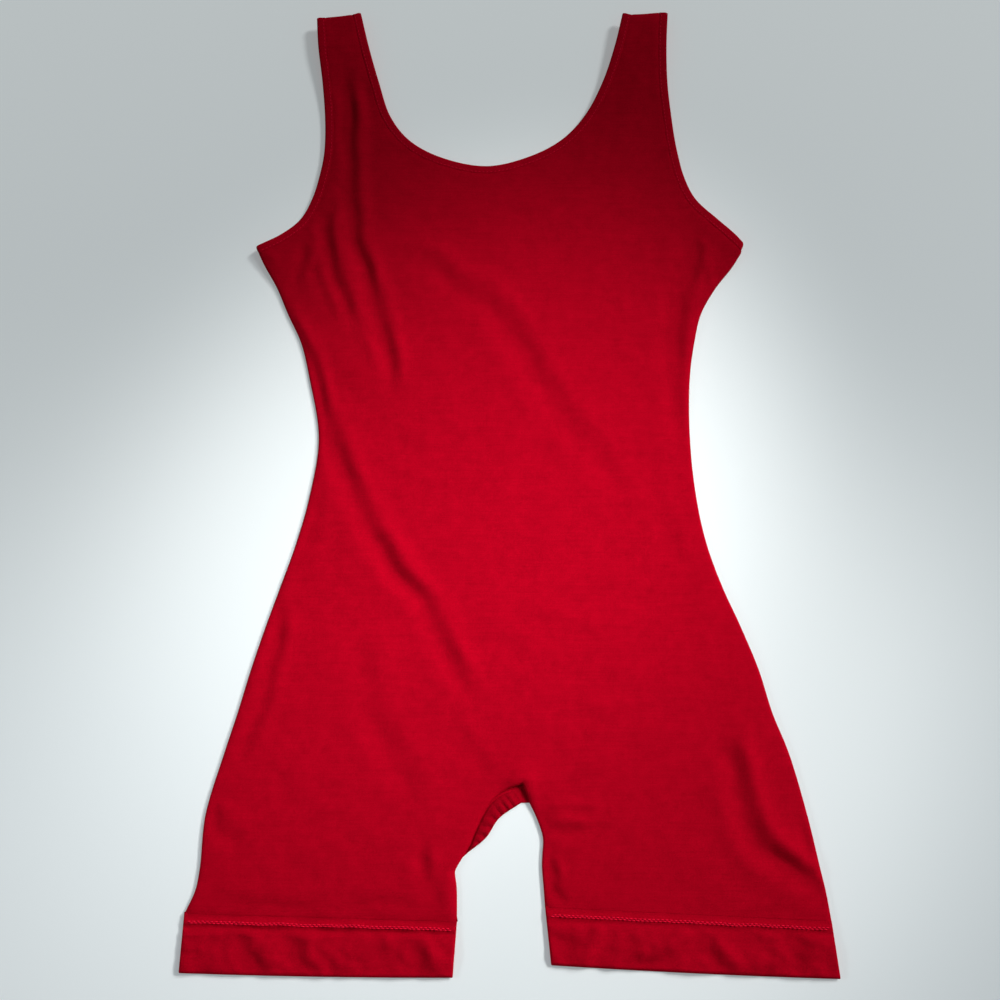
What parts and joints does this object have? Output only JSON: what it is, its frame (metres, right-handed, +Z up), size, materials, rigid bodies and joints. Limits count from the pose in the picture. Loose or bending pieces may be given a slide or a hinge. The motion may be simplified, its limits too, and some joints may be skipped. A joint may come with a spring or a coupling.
{
  "type": "dance unitard",
  "caption": "Sleeveless dance unitard with scoop neck and short legs, laid flat, with elastic edge casings and turned leg hems.",
  "frame": {"origin": "on the surface that the garment lies on, below the middle of its outline", "axes": "+X towards the right of the garment as it is seen from above, +Y from the legs to the neck, +Z up out of the surface"},
  "size_m": [0.4408, 0.7213, 0.0097],
  "materials": {
    "knit": "matte red cotton and elastane jersey",
    "turned_edge": "matte red jersey, turned and stitched"
  },
  "bodies": {
    "root": {"front": "knit", "back": "knit", "gusset": "knit", "neck_edge": "turned_edge", "arm_edge_left": "turned_edge", "arm_edge_right": "turned_edge", "hem_left": "turned_edge", "hem_right": "turned_edge"}
  },
  "joints": []
}
